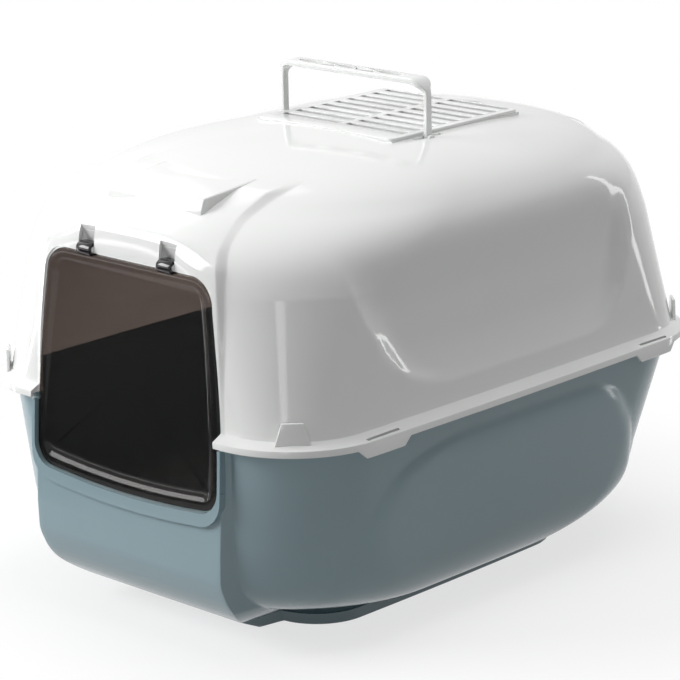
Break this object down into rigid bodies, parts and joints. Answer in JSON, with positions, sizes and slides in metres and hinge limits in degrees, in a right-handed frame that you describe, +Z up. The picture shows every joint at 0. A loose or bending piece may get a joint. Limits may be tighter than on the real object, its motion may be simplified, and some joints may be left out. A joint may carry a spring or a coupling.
{
  "type": "hooded litter box",
  "caption": "Hooded cat litter box with front swing door, deep tray, folding carrying handle and vented carbon filter cover.",
  "frame": {"origin": "on the floor, under the middle of the box", "axes": "+Z up, the door faces -Y, +X is the visible long side's outward direction"},
  "size_m": [0.396, 0.525, 0.4145],
  "materials": {
    "tray": "semi-gloss",
    "hood": "semi-gloss",
    "door": "glossy, smoked clear",
    "handle": "semi-gloss",
    "cover": "semi-gloss",
    "carbon": "matte felt"
  },
  "bodies": {
    "tray_body": {"tray": "tray"},
    "hood_body": {"hood": "hood", "hinge_pin_left": "hood", "hinge_pin_right": "hood", "filter_grate": "hood", "carbon_filter": "carbon"},
    "door_body": {"door_panel": "door", "door_clip_left": "door", "door_clip_right": "door"},
    "handle_body": {"handle": "handle"},
    "cover_body": {"filter_cover": "cover"}
  },
  "joints": [
    {"name": "hood_lift", "type": "slide", "parent": "tray_body", "child": "hood_body", "axis": [0, 0, 1], "range_m": [0, 0.12]},
    {"name": "door_swing", "type": "hinge", "parent": "hood_body", "child": "door_body", "pos_m": [0, -0.2475, 0.3045], "axis": [-1, 0, 0], "range_deg": [-75, 95]},
    {"name": "handle_fold", "type": "hinge", "parent": "hood_body", "child": "handle_body", "pos_m": [0, 0.0123, 0.3645], "axis": [1, 0, 0], "range_deg": [-65, 65]},
    {"name": "cover_lift", "type": "slide", "parent": "hood_body", "child": "cover_body", "axis": [0, 0, 1], "range_m": [0, 0.03]}
  ]
}
